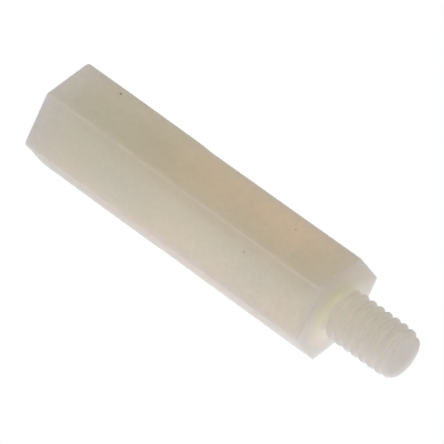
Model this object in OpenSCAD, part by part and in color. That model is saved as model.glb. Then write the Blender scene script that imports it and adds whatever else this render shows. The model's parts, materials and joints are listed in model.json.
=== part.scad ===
// Male-female hex standoff, moulded in one piece from undyed nylon.
// Millimetres. The axis is X, with the stud on the +X side, and the origin is the middle of
// the shoulder that the stud stands on. One flat of the hexagon faces up and one faces down.
// The threads are too fine to be cut here. The stud is drawn at the crests of its thread and
// the hole at the crests of its own, which are the two diameters that a mating part meets.

/* [Hex body] */
// Size across two opposite flats, which is the spanner size
across_flats = 7; // [6:0.1:12]
// Length of the hexagonal body, which is the gap that the standoff keeps
body_length = 25; // [16:0.5:60]
// Rounding of the six long edges
long_edge_radius = 0.2; // [0.05:0.05:0.4]
// Rounding of the edges round the female end
female_end_radius = 0.25; // [0.05:0.05:0.4]
// Rounding of the edges round the shoulder
shoulder_edge_radius = 0.1; // [0.05:0.05:0.4]

/* [Threads] */
// Nominal diameter of both threads
thread_diameter = 4; // [3:0.1:4.5]
// Pitch of both threads
thread_pitch = 0.7; // [0.5:0.05:0.9]
// How far the moulded crests of the stud fall short of the nominal diameter
crest_shortfall = 0.2; // [0:0.05:0.3]

/* [Stud] */
// How far the stud stands out of the shoulder
stud_length = 6; // [4:0.25:12]
// Plain stretch of the neck, between its fillet and the first turn of thread
neck_straight = 0.1; // [0.05:0.05:1]
// Length of the taper at the tip
tip_length = 0.4; // [0.2:0.05:0.8]
// How much that taper takes off the radius
tip_drop = 0.35; // [0.1:0.05:0.5]

/* [Threaded hole] */
// Depth of the hole, from the end face to its floor
hole_depth = 10.5; // [6:0.5:14]
// Lead-in taper at the mouth, the same along the axis and on the radius
mouth_chamfer = 0.5; // [0.2:0.05:0.6]
// Taper round the floor, the same along the axis and on the radius
floor_chamfer = 0.35; // [0.1:0.05:0.6]

/* [Hidden] */
$fn = 96;
nylon_colour = "#e9e4d6";

// A 60 degree thread with moulded, rounded crests and roots is half a pitch deep.
thread_depth = thread_pitch / 2;
flank_length = thread_depth * tan(30);

crest_radius = (thread_diameter - crest_shortfall) / 2;
root_radius = crest_radius - thread_depth;
// The neck is a fillet as wide as the thread is deep, a plain stretch along the thread's
// roots, and the flank of the first turn.
neck_length = thread_depth + neck_straight + flank_length;
// A hole for a thread measures the nominal diameter less one pitch.
hole_radius = (thread_diameter - thread_pitch) / 2;

// The stud's core runs this far in behind the shoulder, and a cut runs this far past a face.
overlap = 1;
// Every rounding stands this little proud, so that the flats cut it and don't merely touch it.
proud = 0.001;

// Hexagon by the distance from its centre to a side, with corners on the sketch's X axis.
module hexagon(apothem) {
    circle(apothem / cos(30), $fn = 6);
}

// Corner of a solid sketch at the origin, as the waste that leaves it round.
// The solid lies towards -X and -Y.
module corner_waste(radius) {
    translate([-radius, -radius]) difference() {
        square(radius + overlap);
        circle(radius + proud);
    }
}

// Side view of the body, axis by across flats, with the edges of both ends rounded.
module side_view() {
    difference() {
        translate([-body_length, -across_flats / 2]) square([body_length, across_flats]);
        for (side = [0, 1]) mirror([0, side]) {
            translate([0, across_flats / 2]) corner_waste(shoulder_edge_radius);
            translate([-body_length, across_flats / 2]) mirror([1, 0])
                corner_waste(female_end_radius);
        }
    }
}

// End view that rounds the long edges: a bar at each of the six corners, joined by a hexagon
// that is turned so that its sides cut the corners off where the rounding starts.
module long_edge_view() {
    bar_centre = (across_flats / 2 - long_edge_radius) / cos(30);
    rotate(30) hexagon(bar_centre + long_edge_radius * cos(30));
    for (turn = [0:60:300])
        rotate(turn) translate([bar_centre, 0]) circle(long_edge_radius + proud);
}

// Each pair of flats is a slab with the side view's outline. The three slabs and the end
// view cross to make the body.
module hex_body() {
    intersection() {
        intersection_for (turn = [0, 60, 120])
            rotate([90 + turn, 0, 0])
                linear_extrude(2 * across_flats, center = true) side_view();
        translate([-body_length - overlap, 0, 0]) rotate([90, 0, 90])
            linear_extrude(body_length + 2 * overlap) long_edge_view();
    }
}

// Half section of the stud: radius to the right, distance from the shoulder upwards.
module stud_section() {
    polygon([
        [0, -overlap],
        [root_radius, -overlap],
        [root_radius, neck_length - flank_length],
        [crest_radius, neck_length],
        [crest_radius, stud_length - tip_length],
        [crest_radius - tip_drop, stud_length],
        [0, stud_length]
    ]);
    difference() {
        square([crest_radius, thread_depth]);
        translate([crest_radius, thread_depth]) circle(thread_depth);
    }
}

// Half section of the hole: radius to the right, distance from the end face upwards.
module hole_section() {
    polygon([
        [0, -overlap],
        [hole_radius + mouth_chamfer + overlap, -overlap],
        [hole_radius, mouth_chamfer],
        [hole_radius, hole_depth - floor_chamfer],
        [hole_radius - floor_chamfer, hole_depth],
        [0, hole_depth]
    ]);
}

module stud() {
    rotate([0, 90, 0]) rotate_extrude() stud_section();
}

module threaded_hole() {
    translate([-body_length, 0, 0]) rotate([0, 90, 0]) rotate_extrude() hole_section();
}

module hex_standoff() {
    color(nylon_colour) difference() {
        union() {
            hex_body();
            stud();
        }
        threaded_hole();
    }
}

hex_standoff();
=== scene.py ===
# %% [markdown]
# # A moulded nylon hex standoff
#
# The object is one small moulding, 31 mm long: a hexagonal body with a threaded hole in one
# end and a threaded stud on the other. The construction model gives its true size, and leaves
# its two threads plain. This lesson models the whole moulding again as one closed mesh, with
# both threads, and gives it the milky look of undyed nylon.
#
# Everything is in metres and stays where the construction model puts it, so the first step
# loads that model as a fixed frame and keeps its box.

# %% Load the frame
import json
import math

import bmesh
import bpy
from mathutils import Matrix, Vector


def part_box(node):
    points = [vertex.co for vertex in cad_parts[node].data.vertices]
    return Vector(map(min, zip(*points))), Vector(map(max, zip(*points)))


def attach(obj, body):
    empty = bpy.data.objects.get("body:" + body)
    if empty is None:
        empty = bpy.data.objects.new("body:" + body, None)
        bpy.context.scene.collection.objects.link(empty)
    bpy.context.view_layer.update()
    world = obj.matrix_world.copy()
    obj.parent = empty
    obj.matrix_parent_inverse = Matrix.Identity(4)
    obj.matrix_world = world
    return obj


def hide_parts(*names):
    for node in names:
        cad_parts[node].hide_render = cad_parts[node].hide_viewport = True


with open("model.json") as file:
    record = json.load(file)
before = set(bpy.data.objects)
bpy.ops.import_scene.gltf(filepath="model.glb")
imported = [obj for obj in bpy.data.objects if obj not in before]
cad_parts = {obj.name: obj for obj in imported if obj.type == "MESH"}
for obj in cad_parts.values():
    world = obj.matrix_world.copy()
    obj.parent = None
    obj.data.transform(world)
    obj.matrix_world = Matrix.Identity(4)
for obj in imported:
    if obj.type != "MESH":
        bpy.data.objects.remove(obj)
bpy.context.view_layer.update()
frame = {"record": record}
MM = 0.001

# %% [markdown]
# ## Sizes
#
# The axis is X. The body runs from the female end, at the lowest X, to the shoulder at X = 0,
# and the stud stands out of the shoulder to the highest X. The frame gives the lengths, the
# size across flats and the two thread radii, so none of them is typed in again. What the
# construction leaves out, such as the shape of the thread, is added here.

# %% Sizes from the frame
low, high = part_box("hex_standoff")
mounts = {mount["name"]: mount for mount in frame["record"]["mounts"]}
body_length = -low.x
stud_length = high.x
across_flats = high.z - low.z
crest_radius = mounts["stud"]["dims"]["r_mm"] * MM
hole_radius = mounts["threaded_hole"]["dims"]["r_mm"] * MM
print(f"body {body_length / MM:.1f} mm, stud {stud_length / MM:.1f} mm, "
      f"{across_flats / MM:.1f} mm across flats")

# %% Sizes of the moulded details
long_edge_radius = 0.2 * MM
female_end_radius = 0.25 * MM
shoulder_edge_radius = 0.1 * MM
pitch = 0.7 * MM
thread_depth = pitch / 2
root_radius = crest_radius - thread_depth
hole_depth = 10.5 * MM
mouth_chamfer = 0.5 * MM
floor_chamfer = 0.35 * MM
print(f"thread roots at {root_radius / MM:.2f} mm, {stud_length / pitch:.1f} turns on the stud")

# %% [markdown]
# ## The hexagonal body
#
# A six-sided circle, filled and extruded along the axis, is the bar. Its edges aren't sharp:
# the mould rounds them, and light catches every one. The edges of both ends are bevelled
# first. Each corner line of the bar then runs on over the end roundings, so that one bevel
# along the whole line turns the corners the way a ball-nosed cutter leaves them.

# %% The bar
AXIS = Vector((1, 0, 0))
TURN_TO_AXIS = Matrix.Rotation(math.radians(90), 4, "Y")
SAME_PLACE = 0.0001 * MM
SAME_ANGLE_DEGREES = 0.01
ROUNDING_SEGMENTS = 6
longest_rounding = 1 * MM


def corner_angle(vert):
    """How far the vertex lies from the nearest corner line of the hexagon, in degrees."""
    angle = math.degrees(math.atan2(vert.co.z, vert.co.y)) % 60
    return min(angle, 60 - angle)


def all_at(edge, place):
    """Whether both ends of the edge are at that distance along the axis."""
    return all(abs(vert.co.x - place) < SAME_PLACE for vert in edge.verts)


def round_edges(bm, edges, offset):
    """Bevels the edges into a rounding that starts that far to each side of them."""
    bmesh.ops.bevel(bm, geom=edges, offset=offset, segments=ROUNDING_SEGMENTS, profile=0.5,
                    affect="EDGES", material=-1)


bm = bmesh.new()
bmesh.ops.create_circle(bm, cap_ends=True, segments=6, radius=across_flats / math.sqrt(3),
                        matrix=Matrix.Translation((-body_length, 0, 0)) @ TURN_TO_AXIS)
pulled = bmesh.ops.extrude_face_region(bm, geom=bm.faces[:])["geom"]
bmesh.ops.translate(bm, verts=[part for part in pulled if isinstance(part, bmesh.types.BMVert)],
                    vec=AXIS * body_length)

for place, rounding in ((-body_length, female_end_radius), (0, shoulder_edge_radius)):
    round_edges(bm, [edge for edge in bm.edges if all_at(edge, place)], rounding)
corner_lines = [edge for edge in bm.edges
                if all(corner_angle(vert) < SAME_ANGLE_DEGREES for vert in edge.verts)
                and (edge.verts[0].co.yz - edge.verts[1].co.yz).length < longest_rounding]
round_edges(bm, corner_lines, long_edge_radius * math.tan(math.radians(30)))
print("bar:", len(bm.faces), "faces")

# %% [markdown]
# The flats are still single faces. A moulded flat is never quite flat, so each is cut into a
# grid that can be pressed in a little. `subdivide_edges` on a face's two opposite edges makes
# a ladder: first along the bar, then across it.

# %% A grid on the flats
cuts_along = 79
cuts_across = 9


def edges_between(bm, shortest, along_axis):
    """Edges at least that long that run along the axis, or across it."""
    found = []
    for edge in bm.edges:
        line = edge.verts[1].co - edge.verts[0].co
        if line.length > shortest and (abs(line.x) > 0.5 * line.length) == along_axis:
            found.append(edge)
    return found


bmesh.ops.subdivide_edges(bm, edges=edges_between(bm, body_length / 2, True), cuts=cuts_along)
bmesh.ops.subdivide_edges(bm, edges=edges_between(bm, across_flats / 4, False), cuts=cuts_across)
print("bar with its grid:", len(bm.faces), "faces")

# %% [markdown]
# Nylon shrinks as it sets, and shrinks most where it is thickest. The body is hollow as far
# as the threaded hole goes and solid from there to the shoulder, so the skin steps inwards
# just past the end of the hole and comes back slowly towards the stud, while the hollow half
# stays very slightly full. The step is 0.06 mm on the upper side and a third of that below.
# Each vertex is moved by a share of its distance from the axis, which counts as at least 1 mm,
# so that nothing is divided by zero.

# %% Shrinkage
step_after_hole = 0.2 * MM
step_start = -body_length + hole_depth + step_after_hole
step_length = 0.6 * MM
upper_step = 0.06 * MM
lower_step = 0.02 * MM
hollow_swell = 0.015 * MM
least_radius = 1 * MM


def smooth(value, start, end):
    """0 up to start, 1 from end, and a soft step between them."""
    share = min(max((value - start) / (end - start), 0), 1)
    return share * share * (3 - 2 * share)


for vert in bm.verts:
    x, across, up = vert.co
    step = lower_step + (upper_step - lower_step) * smooth(up, 0, across_flats / 2)
    solid = smooth(x, step_start, step_start + step_length)
    swell = hollow_swell * math.sin(math.pi * min(max((x + body_length) / hole_depth, 0), 1))
    outwards = swell * (1 - solid) - step * solid * max(x / step_start, 0)
    vert.co.yz *= 1 + outwards / max(math.hypot(across, up), least_radius)
print("step on the upper side:", upper_step / MM, "mm")

# %% [markdown]
# ## The stud's thread
#
# A thread is one short outline, a ridge and its groove, swept along a helix. `spin` does just
# that when it is given a shift for each step: here 96 steps to a turn, each moved along by a
# 96th of the pitch. One turn is then exactly one pitch long, so copies of it, each moved on by
# a pitch, make the rest. Turning by the right-hand rule while moving towards +X makes a
# right-hand thread.
#
# Moulded threads are softer than cut ones. The ridge rises along 30 degree flanks, but its
# crest and root are rounded, so a smooth step stands for the flank.

# %% One thread, for the stud and for the hole
STEPS = 96
OUTLINE_POINTS = 14
FLANK_START = 0.2
FLANK_END = 0.86
MERGE_DISTANCE = 0.0005 * MM
CUT_SNAP = 0.00001 * MM


def ridge(phase):
    """Height of the thread over one pitch: 0 at both ends of the outline and 1 in its middle."""
    return smooth(1 - abs(2 * phase - 1), FLANK_START, FLANK_END)


def threaded_tube(start, end, crest_at, inner_radius):
    """A helical surface along X, cut square at both ends, with a crest at that place."""
    tube = bmesh.new()
    first = crest_at - pitch / 2
    first -= pitch * (math.ceil((first - start) / pitch) + 1)
    phases = [i / OUTLINE_POINTS for i in range(OUTLINE_POINTS + 1)]
    outline = [tube.verts.new((first + phase * pitch,
                               inner_radius + thread_depth * ridge(phase), 0))
               for phase in phases]
    lines = [tube.edges.new(pair) for pair in zip(outline, outline[1:])]
    bmesh.ops.spin(tube, geom=outline + lines, cent=(0, 0, 0), axis=AXIS,
                   dvec=AXIS * pitch / STEPS, angle=math.tau, steps=STEPS)
    one_turn = tube.verts[:] + tube.edges[:] + tube.faces[:]
    for turn in range(1, math.ceil((end - first) / pitch) + 1):
        copied = bmesh.ops.duplicate(tube, geom=one_turn)["geom"]
        moved = [part for part in copied if isinstance(part, bmesh.types.BMVert)]
        bmesh.ops.translate(tube, verts=moved, vec=AXIS * pitch * turn)
    bmesh.ops.remove_doubles(tube, verts=tube.verts, dist=MERGE_DISTANCE)
    for place, side in ((start, -1), (end, 1)):
        bmesh.ops.bisect_plane(tube, geom=tube.verts[:] + tube.edges[:] + tube.faces[:],
                               dist=CUT_SNAP, plane_co=AXIS * place, plane_no=AXIS * side,
                               clear_outer=True)
    return tube


# %% [markdown]
# The thread doesn't start at full height. It fades in out of a short neck beside the shoulder,
# and at the tip a taper takes its crests down while the groove runs out. All of it has a little
# draft, so that it leaves its mould. These are radii that change along the axis, so each vertex
# is moved in or out to suit, and nothing else changes.

# %% The threaded part of the stud
neck_end = thread_depth
fade_start = neck_end - 0.05 * MM
fade_end = 0.62 * MM
taper_start = stud_length - 1.1 * MM
taper_slope = 0.13
runout_start = stud_length - 0.27 * MM
tip_round = 0.08 * MM
tip_height = 0.06 * MM
crest_at = 0.425 * MM
draft = math.tan(math.radians(0.3))


def set_radius(vert, radius):
    """Moves the vertex straight in or out, to that distance from the axis."""
    vert.co.yz *= radius / vert.co.yz.length


stud = threaded_tube(neck_end, stud_length - tip_round, crest_at, root_radius)
for vert in stud.verts:
    x = vert.co.x
    height = vert.co.yz.length - root_radius
    height *= smooth(x, fade_start, fade_end)
    height = min(height, thread_depth - taper_slope * max(x - taper_start, 0))
    runout = smooth(x, runout_start, stud_length - tip_round)
    height = height * (1 - runout) + tip_height * runout
    set_radius(vert, root_radius + height - draft * x)
print("threaded surface:", len(stud.faces), "faces")

# %% [markdown]
# The open rim at each end of the threaded surface is carried on by extruding it: in small
# steps round the fillet down to the shoulder on one side, and over the rounded tip on the
# other, where a last face closes it.

# %% Fillet and tip
def rim_at(bm, place):
    """The open edges at that distance along the axis."""
    return [edge for edge in bm.edges if edge.is_boundary and all_at(edge, place)]


def carry_on(bm, rim, path):
    """Extrudes an open rim through each (x, radius) of a path. Returns the last rim."""
    for x, radius in path:
        made = bmesh.ops.extrude_edge_only(bm, edges=rim)["geom"]
        rim = [part for part in made if isinstance(part, bmesh.types.BMEdge)]
        for vert in {vert for edge in rim for vert in edge.verts}:
            vert.co.x = x
            set_radius(vert, radius)
    return rim


def quarter_round(steps, x_from, x_to, radius_from, radius_to):
    """(x, radius) along a quarter circle that starts along the axis and ends square to it."""
    turns = [math.radians(90) * i / steps for i in range(1, steps + 1)]
    return [(x_from + (x_to - x_from) * math.sin(turn),
             radius_from + (radius_to - radius_from) * (1 - math.cos(turn))) for turn in turns]


shoulder_rim = carry_on(stud, rim_at(stud, neck_end),
                        quarter_round(8, neck_end, 0, root_radius, crest_radius))
tip_radius = root_radius + tip_height - draft * stud_length
tip_rim = carry_on(stud, rim_at(stud, stud_length - tip_round),
                   quarter_round(5, stud_length - tip_round, stud_length,
                                 tip_radius, tip_radius - tip_round))
bmesh.ops.edgeloop_fill(stud, edges=tip_rim)
print("stud:", len(stud.faces), "faces, shoulder rim of", len(shoulder_rim), "edges")

# %% [markdown]
# ## The threaded hole
#
# The hole is the same kind of surface, seen from inside. It is blind: a tapered floor ends it.
# A lead-in chamfer opens its mouth, and the thread is cut off by that cone, which is again a
# limit on the radius along the axis.

# %% The hole
mouth = -body_length
hole_end = mouth + hole_depth
thread_stop = hole_end - floor_chamfer
hole = threaded_tube(mouth, thread_stop, mouth, hole_radius)
for vert in hole.verts:
    depth = vert.co.x - mouth
    height = (vert.co.yz.length - hole_radius) * smooth(thread_stop - vert.co.x, 0, pitch)
    cone = hole_radius + mouth_chamfer - depth
    set_radius(vert, max(hole_radius + height, cone))
floor_rim = carry_on(hole, rim_at(hole, thread_stop), [(hole_end, hole_radius - floor_chamfer)])
bmesh.ops.edgeloop_fill(hole, edges=floor_rim)
print("hole:", len(hole.faces), "faces")

# %% [markdown]
# ## One closed moulding
#
# The bar's two end faces are taken away, and each open outline is carried a little inwards in
# smaller copies of itself. The stud and the hole are then brought into the bar's mesh, and each
# end is closed by filling between the last copy and the round rim. Recalculating the normals
# points every face outwards, and for the hole that means towards its axis. A mesh with no open
# edge is what lets light scatter inside it.

# %% Join the bar, the stud and the hole
ends = [face for face in bm.faces if len(face.verts) > 4]
bmesh.ops.delete(bm, geom=ends, context="FACES_ONLY")
END_RINGS = (0.94, 0.88, 0.82, 0.76)
for place in (mouth, 0):
    outline = rim_at(bm, place)
    size = 1
    for ring_size in END_RINGS:
        made = bmesh.ops.extrude_edge_only(bm, edges=outline)["geom"]
        outline = [part for part in made if isinstance(part, bmesh.types.BMEdge)]
        for vert in {vert for edge in outline for vert in edge.verts}:
            vert.co.yz *= ring_size / size
        size = ring_size
for part in (stud, hole):
    carrier = bpy.data.meshes.new("carrier")
    part.to_mesh(carrier)
    part.free()
    bm.from_mesh(carrier)
    bpy.data.meshes.remove(carrier)
for place in (mouth, 0):
    bmesh.ops.triangle_fill(bm, edges=rim_at(bm, place), use_beauty=True)
bmesh.ops.recalc_face_normals(bm, faces=bm.faces)
open_edges = sum(not edge.is_contiguous for edge in bm.edges)
print("moulding:", len(bm.faces), "faces,", open_edges, "open edges, volume",
      round(bm.calc_volume() / MM ** 3, 1), "mm3")

# %% [markdown]
# The finish needs to know how near a point of the bar's skin is to an edge. Each point lies on
# one of the bar's eight planes, so its distance to the next nearest plane is its distance to
# the nearest edge. It is kept on the vertices, as 1 at an edge and 0 from 0.9 mm away.

# %% Nearness to an edge
edge_reach = 0.9 * MM
half_flats = across_flats / 2


def edge_distance(point):
    """The distance from a point on the bar's skin to the nearest of the bar's edges."""
    planes = [abs(point.x), abs(point.x + body_length)]
    for turn in (0, 60, 120):
        angle = math.radians(turn)
        planes.append(half_flats - abs(point.y * math.sin(angle) + point.z * math.cos(angle)))
    return sorted(planes)[1]


near_edge = bm.verts.layers.float.new("near_edge")
for vert in bm.verts:
    if vert.co.yz.length > half_flats * END_RINGS[-1]:
        vert[near_edge] = 1 - smooth(edge_distance(vert.co), 0, edge_reach)
print("vertices near an edge:", sum(vert[near_edge] > 0 for vert in bm.verts))

# %% [markdown]
# One last trait of a moulding: the solid half has cooled a little faster on one side, so from
# the middle of the body onwards the axis bows, and at the tip it is 0.035 mm off.

# %% Bow
bow_start = -12 * MM
bow_at_tip = 0.035 * MM
bow_direction = Vector((0, 0.81, 0.59))
for vert in bm.verts:
    share = max(vert.co.x - bow_start, 0) / (stud_length - bow_start)
    vert.co += bow_direction * bow_at_tip * share ** 2
print("bow at the tip:", bow_at_tip / MM, "mm")

# %% [markdown]
# Faces are shaded smooth, apart from the few edges that are truly sharp. The Weighted Normal
# modifier lets each large flat face keep its own direction, so that only the narrow bevels
# beside it turn the light.

# %% The object
SHARP = math.radians(38)
for face in bm.faces:
    face.smooth = True
for edge in bm.edges:
    edge.smooth = edge.calc_face_angle(0) < SHARP

mesh = bpy.data.meshes.new("moulded_standoff")
bm.to_mesh(mesh)
bm.free()
standoff = bpy.data.objects.new("moulded_standoff", mesh)
bpy.context.scene.collection.objects.link(standoff)
weighted = standoff.modifiers.new("flat_faces_stay_flat", "WEIGHTED_NORMAL")
weighted.keep_sharp = True
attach(standoff, "root")
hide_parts("hex_standoff")
print(standoff.name, "stands for hex_standoff,", len(mesh.vertices), "vertices")

# %% [markdown]
# ## Natural nylon
#
# Nylon 6/6 without pigment is milky. Light goes a few millimetres in, scatters many times and
# comes out again, so the piece is lit from within: shadows in the thread nearly fill up, and
# what comes out after a long way is warmer. Subsurface scattering gives that. The base colour
# carries that slow change of tone too, painted in as light and shade, because it is what every
# other program reads.

# %% Helpers for materials
def linear(code):
    """An sRGB hex value as linear colour with full alpha."""
    parts = [int(code[i:i + 2], 16) / 255 for i in (1, 3, 5)]
    return [part / 12.92 if part <= 0.04045 else ((part + 0.055) / 1.055) ** 2.4
            for part in parts] + [1]


def add_node(tree, kind, inputs=(), **settings):
    """Adds a node, sets its settings, and gives each input a value or links it to a socket."""
    node = tree.nodes.new(kind)
    for name, value in settings.items():
        setattr(node, name, value)
    for name, value in dict(inputs).items():
        if isinstance(value, bpy.types.NodeSocket):
            tree.links.new(value, node.inputs[name])
        else:
            node.inputs[name].default_value = value
    return node


def new_material(name):
    """A material with an empty node tree."""
    material = bpy.data.materials.new(name)
    material.use_nodes = True
    material.node_tree.nodes.clear()
    return material


# %% [markdown]
# Every tone depends on where a point lies. Object coordinates give its place in metres, and a
# few maths nodes turn that into distances that mean something on this piece: from the axis,
# from the long ridge that faces the lamp, and from the circle where the stud meets the
# shoulder. Such distances follow the real form and stay put from every side. The nearness to
# an edge comes from the vertices.

# %% Distances
nylon = new_material("natural_nylon_6_6")
tree = nylon.node_tree
point = add_node(tree, "ShaderNodeTexCoord").outputs["Object"]
axes = add_node(tree, "ShaderNodeSeparateXYZ", {"Vector": point}).outputs
nearness = add_node(tree, "ShaderNodeAttribute", attribute_name="near_edge").outputs["Fac"]
off_axis = add_node(tree, "ShaderNodeCombineXYZ", {"Y": axes["Y"], "Z": axes["Z"]}).outputs[0]
from_axis = add_node(tree, "ShaderNodeVectorMath", {0: off_axis},
                     operation="LENGTH").outputs["Value"]

ridge_line = Vector((0, -half_flats * math.tan(math.radians(30)), half_flats))
from_ridge = add_node(tree, "ShaderNodeVectorMath", {0: off_axis, 1: ridge_line},
                      operation="DISTANCE").outputs["Value"]

outside = add_node(tree, "ShaderNodeMath", {0: from_axis, 1: crest_radius},
                   operation="SUBTRACT").outputs[0]
beside_root = add_node(tree, "ShaderNodeCombineXYZ", {"X": axes["X"], "Y": outside})
from_root = add_node(tree, "ShaderNodeVectorMath", {0: beside_root.outputs[0]},
                     operation="LENGTH").outputs["Value"]
print("ridge that faces the lamp at", [round(value / MM, 2) for value in ridge_line.yz], "mm")

# %% [markdown]
# The tone isn't the same all over. The hollow half is a greenish straw, the solid half is warmer,
# and the thin stud and both ends are paler and greyer. These changes are painted light: where
# the nylon is thin or hollow, more light passes through and it looks paler, and where it is solid
# the light that comes out is warmer. Ramps along the axis hold those tones, each at its own place
# in millimetres. The upper flat has a ramp of its own, darker and more yellow, which is painted
# shade for the side furthest from the lit panel. So has the underside, which is painted darker
# and greyer, a painted shade against the glow that the lit panel below gives it.

# %% Tones along the axis
# These ramps hold painted light and shade: paler where light passes through, darker on the upper
# flat and the underside.
TONES = {
    "sides": {-25: "#dcd8d9", -21.5: "#e3dfd8", -17: "#e6e1db", -12: "#e3e0db", -5: "#e1dfdc",
              0: "#e3dfda", 2: "#f7e6de", 5.5: "#f3e2e4"},
    "upper flat": {-25: "#dfdbdd", -21.5: "#e0dcd4", -15: "#e1dace", -4: "#e2dbd1",
                   -0.5: "#ded8cf"},
    "underside": {-25: "#cecbc6", -18: "#d7cfc7", -8: "#ddd5ce", 0: "#dcdad7", 6: "#c8cfcf"},
}
along = add_node(tree, "ShaderNodeMapRange",
                 {"Value": axes["X"], "From Min": -body_length, "From Max": stud_length})
tone = {}
for side, codes in TONES.items():
    ramp = add_node(tree, "ShaderNodeValToRGB", {"Fac": along.outputs["Result"]})
    stops = ramp.color_ramp.elements
    stops.remove(stops[-1])
    for index, (x, code) in enumerate(codes.items()):
        position = (x * MM + body_length) / (body_length + stud_length)
        stop = stops.new(position) if index else stops[0]
        stop.color = linear(code)
    tone[side] = ramp.outputs["Color"]
print("tones along the axis:", {side: len(codes) for side, codes in TONES.items()})

# %% [markdown]
# Each tone holds in one region and fades out softly. A Map Range node that is set to a smooth
# step does that for any distance: it gives 0 up to the first value and 1 from the second on,
# and the first may be the larger one. Each row of the table holds a distance and these two
# values. Where two of the regions overlap, on the shoulder's edges, a thin line of painted shade
# takes down the light that the small rounding there would catch.

# %% Regions
REGIONS = {
    "upper flat": (axes["Z"], 2 * MM, half_flats),
    "underside": (axes["Z"], 0.4 * MM, -0.6 * MM),
    "round the ridge": (from_ridge, half_flats, 0),
    "on the ridge": (from_ridge, 0.2 * MM, 0.05 * MM),
    "on an edge": (nearness, 0.94, 0.995),
    "at the shoulder": (axes["X"], -0.2 * MM, -0.08 * MM),
    "thread grooves": (from_axis, crest_radius, root_radius),
    "round the root": (from_root, 1.4 * MM, 0.1 * MM),
    "tip": (axes["X"], stud_length - 0.4 * MM, stud_length),
}
region = {}
for name, (distance, start, end) in REGIONS.items():
    region[name] = add_node(tree, "ShaderNodeMapRange",
                            {"Value": distance, "From Min": start, "From Max": end},
                            interpolation_type="SMOOTHSTEP").outputs["Result"]
# painted shade: a thin darker line along the shoulder's edges
region["parting line"] = add_node(tree, "ShaderNodeMath",
                                  {0: region["on an edge"], 1: region["at the shoulder"]},
                                  operation="MULTIPLY").outputs[0]
print("regions:", list(region))

# %% [markdown]
# The tones are laid over each other like glazes, each by one Mix node. After the tones of the
# upper flat and the underside comes a mottle, made of a slow noise with half its usual swing
# and a fine one, which keeps the flats from looking painted.
#
# A Mix node has several sockets with the same name, so its colour sockets are reached by number.
#
# Light scatters a little further here than in real nylon, so that edges would glow too much.
# The base colour is taken down along them, which is painted shade, and in a wide band round the
# ridge that faces the lamp. On the rounding of that ridge a painted highlight adds a thin light
# line. The stud is thin enough for light to pass through, and that fills its grooves and the
# corner at its root: pale tones there are painted light for that fill. Its tip is as grey as
# the female end.

# %% Layers of tone
FACTOR = 0
COLOUR_A = 6
COLOUR_B = 7
COLOUR_RESULT = 2
slow_size = 3 * MM
fine_size = 0.3 * MM
slow_noise = add_node(tree, "ShaderNodeTexNoise", {"Vector": point, "Scale": 1 / slow_size})
fine_noise = add_node(tree, "ShaderNodeTexNoise", {"Vector": point, "Scale": 1 / fine_size})
half_swing = add_node(tree, "ShaderNodeMapRange", {"Value": slow_noise.outputs["Fac"],
                                                   "To Min": 0.25, "To Max": 0.75})
LAYERS = (
    # painted shade: the upper flat's darker, yellower tone
    (region["upper flat"], "MIX", tone["upper flat"]),
    # painted shade: the underside is darker and greyer against the panel's glow
    (region["underside"], "MIX", tone["underside"]),
    (half_swing.outputs["Result"], "MULTIPLY", linear("#f9f7f5")),
    (fine_noise.outputs["Fac"], "MULTIPLY", linear("#f3f3f2")),
    # painted shade along every edge, against the glow of scattered light
    (nearness, "MULTIPLY", linear("#fcf9fa")),
    # painted shade in a wide band round the ridge that faces the lamp
    (region["round the ridge"], "MULTIPLY", linear("#fbfdfd")),
    # painted highlight: a thin light line added on the rounding of the ridge
    (region["on the ridge"], "ADD", linear("#262624")),
    # painted shade: a thin darker line on the shoulder's edges
    (region["parting line"], "MULTIPLY", linear("#f9f8f7")),
    # painted light: paler grooves, as if filled by light passing through the stud
    (region["thread grooves"], "MIX", linear("#e3d7d4")),
    # painted light: the corner round the stud's root lightened, where it would be in shade
    (region["round the root"], "MIX", linear("#e9dad5")),
    (region["tip"], "MIX", linear("#cfcac7")),
)
colour = tone["sides"]
for factor, blend, layer in LAYERS:
    colour = add_node(tree, "ShaderNodeMix", {FACTOR: factor, COLOUR_A: colour, COLOUR_B: layer},
                      data_type="RGBA", blend_type=blend).outputs[COLOUR_RESULT]
print("layers over the side's tone:", len(LAYERS))

# %% [markdown]
# Specks of burnt nylon are in many natural mouldings. Each here has its own place, size and
# strength: the one at the skin is black, and those below the skin are pale. Each row of the
# table holds a centre, how far the speck reaches from it, both in millimetres, and a strength.

# %% Specks
SPECKS = (
    ((-21.4, 1.5, 3.5), 0.12, 1.0),
    ((-23.0, -1.05, 3.5), 0.12, 0.2),
    ((-18.0, -0.1, 3.5), 0.12, 0.1),
    ((-13.1, -0.05, 3.5), 0.12, 0.1),
    ((-4.8, 0.85, 3.5), 0.12, 0.35),
    ((-3.35, -1.0, 3.5), 0.14, 0.12),
    ((-6.35, -2.5, 2.6), 0.12, 0.35),
    ((-6.85, -3.65, -0.6), 0.14, 0.2),
    ((4.35, 0.75, 1.4), 0.14, 0.3),
)
BURNT = linear("#1a1410")
for spot, reach, strength in SPECKS:
    away = add_node(tree, "ShaderNodeVectorMath", {0: point, 1: Vector(spot) * MM},
                    operation="DISTANCE").outputs["Value"]
    speck = add_node(tree, "ShaderNodeMapRange",
                     {"Value": away, "From Min": reach * MM, "From Max": 0, "To Max": strength},
                     interpolation_type="SMOOTHSTEP").outputs["Result"]
    colour = add_node(tree, "ShaderNodeMix", {FACTOR: speck, COLOUR_A: colour, COLOUR_B: BURNT},
                      data_type="RGBA").outputs[COLOUR_RESULT]
print("specks:", len(SPECKS))

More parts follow.
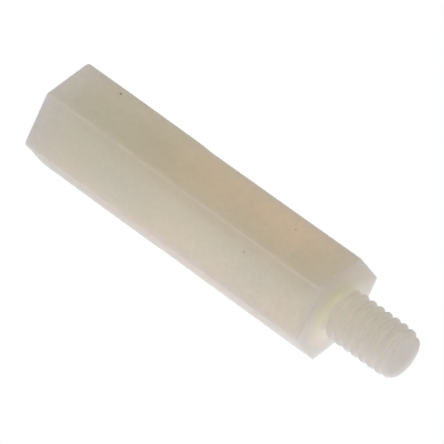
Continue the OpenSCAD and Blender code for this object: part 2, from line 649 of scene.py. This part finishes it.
# %% [markdown]
# The mould was left satin, so the skin has a very fine grain and hardly any gloss. The real
# grain is finer than 0.1 mm. It is drawn coarser, at 0.25 mm, so that it can be seen at all, and
# kept faint. A slower noise of 1.5 mm makes the skin duller in patches, where the melt didn't
# press as hard on the mould.
#
# Nylon's refractive index is 1.53. Scattering reaches 4 mm in every colour and goes mostly
# forwards, so the thin stud lets light through and the thick body less.

# %% Grain and gloss
grain_size = 0.25 * MM
grain_height = 0.02 * MM
patch_size = 1.5 * MM
grain = add_node(tree, "ShaderNodeTexNoise",
                 {"Vector": point, "Scale": 1 / grain_size, "Detail": 3})
bump = add_node(tree, "ShaderNodeBump", {"Height": grain.outputs["Fac"], "Strength": 0.35,
                                         "Distance": grain_height})
patches = add_node(tree, "ShaderNodeTexNoise", {"Vector": point, "Scale": 1 / patch_size})
roughness = add_node(tree, "ShaderNodeMapRange",
                     {"Value": patches.outputs["Fac"], "To Min": 0.5, "To Max": 0.7})

principled = add_node(tree, "ShaderNodeBsdfPrincipled",
                      {"Base Color": colour, "Roughness": roughness.outputs[0], "IOR": 1.53,
                       "Subsurface Weight": 1.0, "Subsurface Radius": (1, 1, 1),
                       "Subsurface Scale": 4 * MM, "Subsurface Anisotropy": 0.9,
                       "Normal": bump.outputs["Normal"]})
add_node(tree, "ShaderNodeOutputMaterial", {"Surface": principled.outputs["BSDF"]})
standoff.data.materials.append(nylon)
print("material:", nylon.name)

# %% [markdown]
# ## Light panel, sky and softbox
#
# The part lies on a lit white panel, so its underside is its brightest side and no shadow
# forms. A dim, slightly warm sky and one large softbox, high up on the viewer's side, light
# the rest. The softbox is 0.8 m wide and 1 m away, which is huge beside so small a piece, so
# what it adds is even and has no hot spot.

# %% Floor and sky
lowest = min(vert.co.z for vert in mesh.vertices)
panel_radius = 2.0
panel = bmesh.new()
bmesh.ops.create_circle(panel, cap_ends=True, segments=96, radius=panel_radius,
                        matrix=Matrix.Translation((0, 0, lowest)))
floor_mesh = bpy.data.meshes.new("light_panel")
panel.to_mesh(floor_mesh)
panel.free()
floor = bpy.data.objects.new("light_panel", floor_mesh)
bpy.context.scene.collection.objects.link(floor)

white = new_material("lit_white_panel")
glow = add_node(white.node_tree, "ShaderNodeEmission", {"Color": (1, 1, 1, 1), "Strength": 1.0})
add_node(white.node_tree, "ShaderNodeOutputMaterial", {"Surface": glow.outputs["Emission"]})
floor.data.materials.append(white)

SKY_COLOUR = (0.16, 0.157, 0.136, 1)
world = bpy.data.worlds.new("dim_sky")
world.use_nodes = True
world.node_tree.nodes["Background"].inputs["Color"].default_value = SKY_COLOUR
bpy.context.scene.world = world
bpy.context.scene.view_settings.view_transform = "Standard"
print("floor at z =", round(lowest / MM, 3), "mm")

# %% Softbox
azimuth = math.radians(39.1)
softbox_elevation = math.radians(80)
softbox_distance = 1.0
softbox_side = 0.8
softbox_brightness = 2.4
softbox = bpy.data.objects.new("softbox", bpy.data.lights.new("softbox", "AREA"))
bpy.context.scene.collection.objects.link(softbox)
softbox.data.size = softbox_side
softbox.data.energy = softbox_brightness * math.pi * softbox_side ** 2
softbox.data.color = (1, 0.98, 0.85)
softbox.matrix_world = (Matrix.Rotation(azimuth, 4, "Z")
                        @ Matrix.Rotation(math.radians(90) - softbox_elevation, 4, "X")
                        @ Matrix.Translation((0, 0, softbox_distance)))
print("softbox:", round(softbox.data.energy, 2), "W")

# %% [markdown]
# ## Camera and finish
#
# A long lens half a metre away keeps the long edges nearly parallel. The camera stands on the
# stud's side and looks at a point inside the body. An aim, a distance and three angles say
# where it is, because they are easier to adjust one by one than a position and a turn.

# %% Camera
elevation = math.radians(47.5)
roll = math.radians(4.93)
camera_distance = 537.9 * MM
aim = Vector((-10.47, 0, 0.42)) * MM

camera = bpy.data.objects.new("camera", bpy.data.cameras.new("camera"))
bpy.context.scene.collection.objects.link(camera)
camera.data.lens = 651
camera.data.clip_start = 0.01
turned = (Matrix.Rotation(azimuth, 4, "Z") @ Matrix.Rotation(math.radians(90) - elevation, 4, "X")
          @ Matrix.Rotation(roll, 4, "Z"))
camera.matrix_world = (Matrix.Translation(aim) @ turned
                       @ Matrix.Translation((0, 0, camera_distance)))
bpy.context.scene.camera = camera
print("camera at", [round(value, 4) for value in camera.matrix_world.translation])
